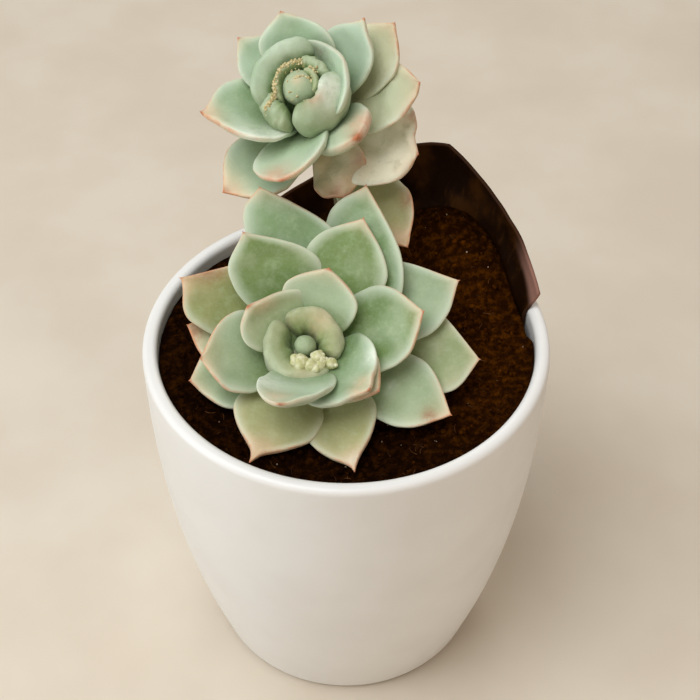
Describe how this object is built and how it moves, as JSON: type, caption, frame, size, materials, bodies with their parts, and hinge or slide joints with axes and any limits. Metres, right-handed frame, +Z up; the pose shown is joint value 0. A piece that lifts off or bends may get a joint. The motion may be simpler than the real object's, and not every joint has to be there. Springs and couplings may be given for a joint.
{
  "type": "potted graptoveria",
  "caption": "Potted graptoveria: a low and a taller rosette of thick pointed leaves on woody stems, in soil in a plain white tapered pot with a thin brown liner sheet.",
  "frame": {"origin": "middle of the pot's flat base, on the surface that it stands on", "axes": "+Z up, -Y towards the side that the rosettes lean to, +X to the right seen from there"},
  "size_m": [0.12, 0.1223, 0.1996],
  "materials": {
    "pot": "smooth satin white glaze",
    "soil": "dark crumbly potting compost",
    "liner": "dark brown thin sheet, dusted with compost",
    "stem": "greenish brown woody stem with leaf scars",
    "leaf": "waxy powdery sage green with pale edges and orange tips",
    "leaf_pale": "waxy powdery blue green, old leaves beige pink"
  },
  "bodies": {
    "root": {"pot": "pot", "soil": "soil", "liner": "liner", "front_stem": "stem", "back_stem": "stem", "front_rosette": "leaf", "back_rosette": "leaf_pale"}
  },
  "joints": []
}
